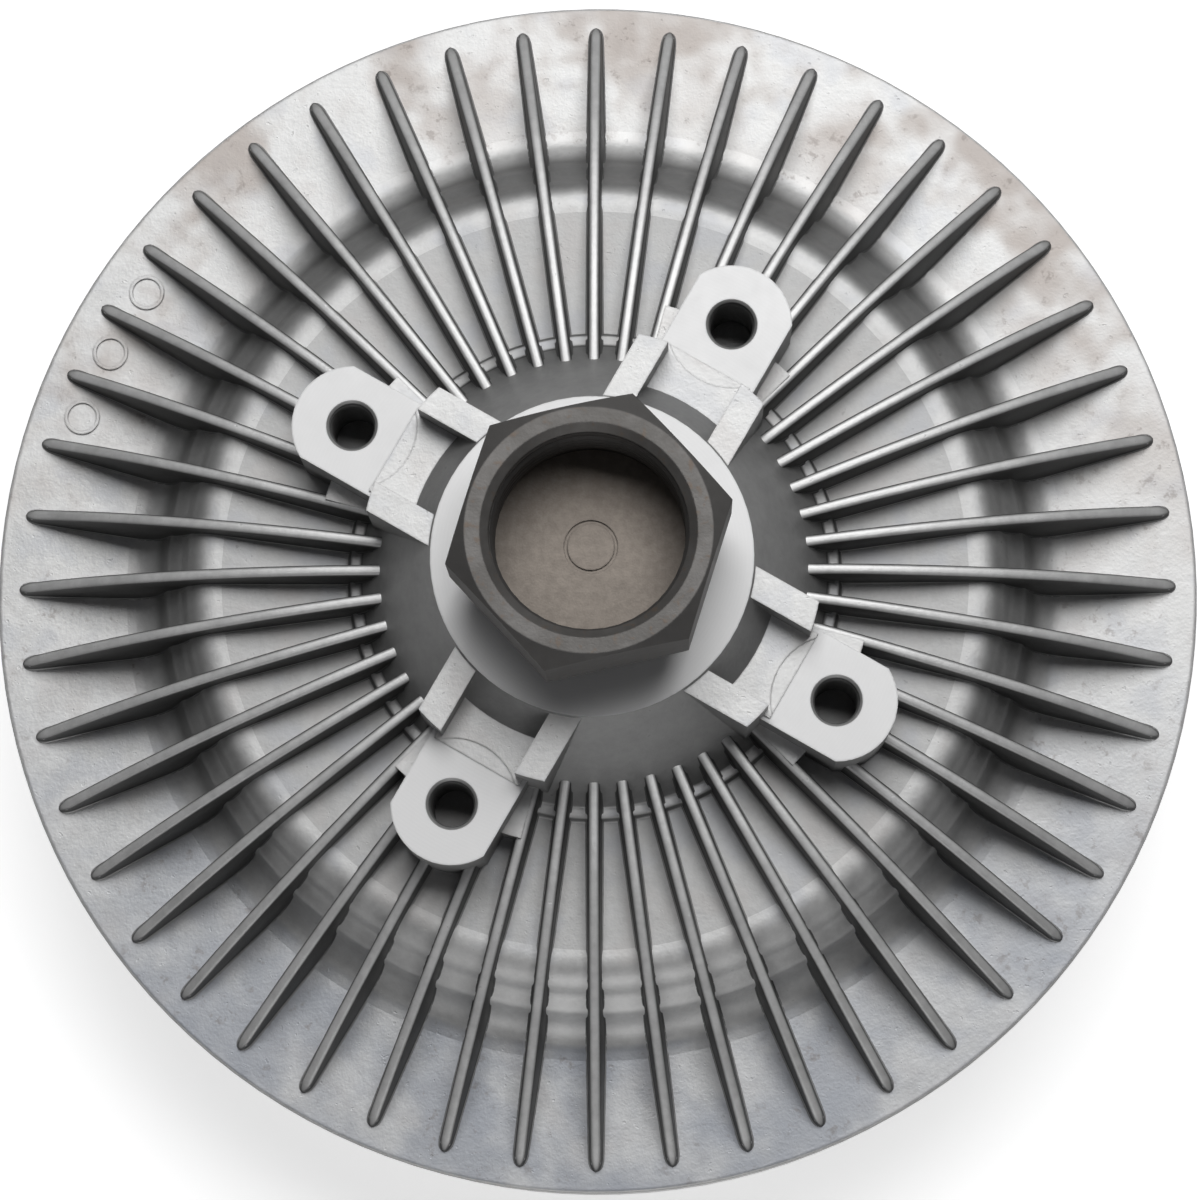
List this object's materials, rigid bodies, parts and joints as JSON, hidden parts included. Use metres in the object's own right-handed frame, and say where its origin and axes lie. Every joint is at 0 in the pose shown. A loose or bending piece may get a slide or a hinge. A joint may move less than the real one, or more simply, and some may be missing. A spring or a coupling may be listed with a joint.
{
  "type": "viscous fan clutch",
  "caption": "Finned viscous fan clutch with a hexagon cup nut for the water pump thread, tapped fan lugs, and a bimetal valve on the front cover.",
  "frame": {"origin": "on the clutch axis, in the plane of the front cover's fin crests that it rests on", "axes": "+Z along the clutch axis, from the front cover up to the hexagon nut"},
  "size_m": [0.184, 0.184, 0.0885],
  "materials": {
    "cast_aluminium": "die cast, machined seats",
    "machined_aluminium": "turned",
    "dark_steel": "dark forged steel",
    "bearing_steel": "ground",
    "ball_steel": "polished",
    "cage_brass": "machined",
    "seal_rubber": "moulded",
    "spring_steel": "phosphated",
    "plate_steel": "stamped, zinc plated",
    "wiper_plastic": "moulded",
    "bush_bronze": "sintered",
    "bimetal_strip": "rolled strip"
  },
  "bodies": {
    "housing": {"rear_housing": "cast_aluminium", "front_cover": "cast_aluminium", "cover_seal_ring": "seal_rubber", "bearing_outer_race": "bearing_steel", "bearing_seal_rear": "seal_rubber", "bearing_seal_front": "seal_rubber", "bearing_ring": "spring_steel", "pump_plate": "plate_steel", "plate_rivets": "machined_aluminium", "fluid_wipers": "wiper_plastic", "valve_shaft_bush": "bush_bronze", "bimetal_coil": "bimetal_strip"},
    "drive": {"input_shaft": "dark_steel", "bearing_inner_race": "bearing_steel", "rotor": "machined_aluminium"},
    "ball_train": {"bearing_balls": "ball_steel", "bearing_cage": "cage_brass"},
    "valve": {"valve_shaft": "plate_steel", "valve_arm": "plate_steel", "valve_shaft_o_ring": "seal_rubber", "valve_shaft_clip": "spring_steel"}
  },
  "joints": [
    {"name": "drive_spin", "type": "hinge", "parent": "housing", "child": "drive", "pos_m": [0, 0, 0.05], "axis": [0, 0, 1], "continuous": true},
    {"name": "ball_train_spin", "type": "hinge", "parent": "housing", "child": "ball_train", "pos_m": [0, 0, 0.05], "axis": [0, 0, 1], "continuous": true},
    {"name": "valve_turn", "type": "hinge", "parent": "housing", "child": "valve", "pos_m": [0, 0, 0.01], "axis": [0, 0, 1], "range_deg": [0, 40], "stiffness_Nm_per_rad": 0.05, "deforming": ["bimetal_coil"]}
  ],
  "couplings": [
    {"joint": "ball_train_spin", "follows": "drive_spin", "ratio": 0.3815}
  ]
}
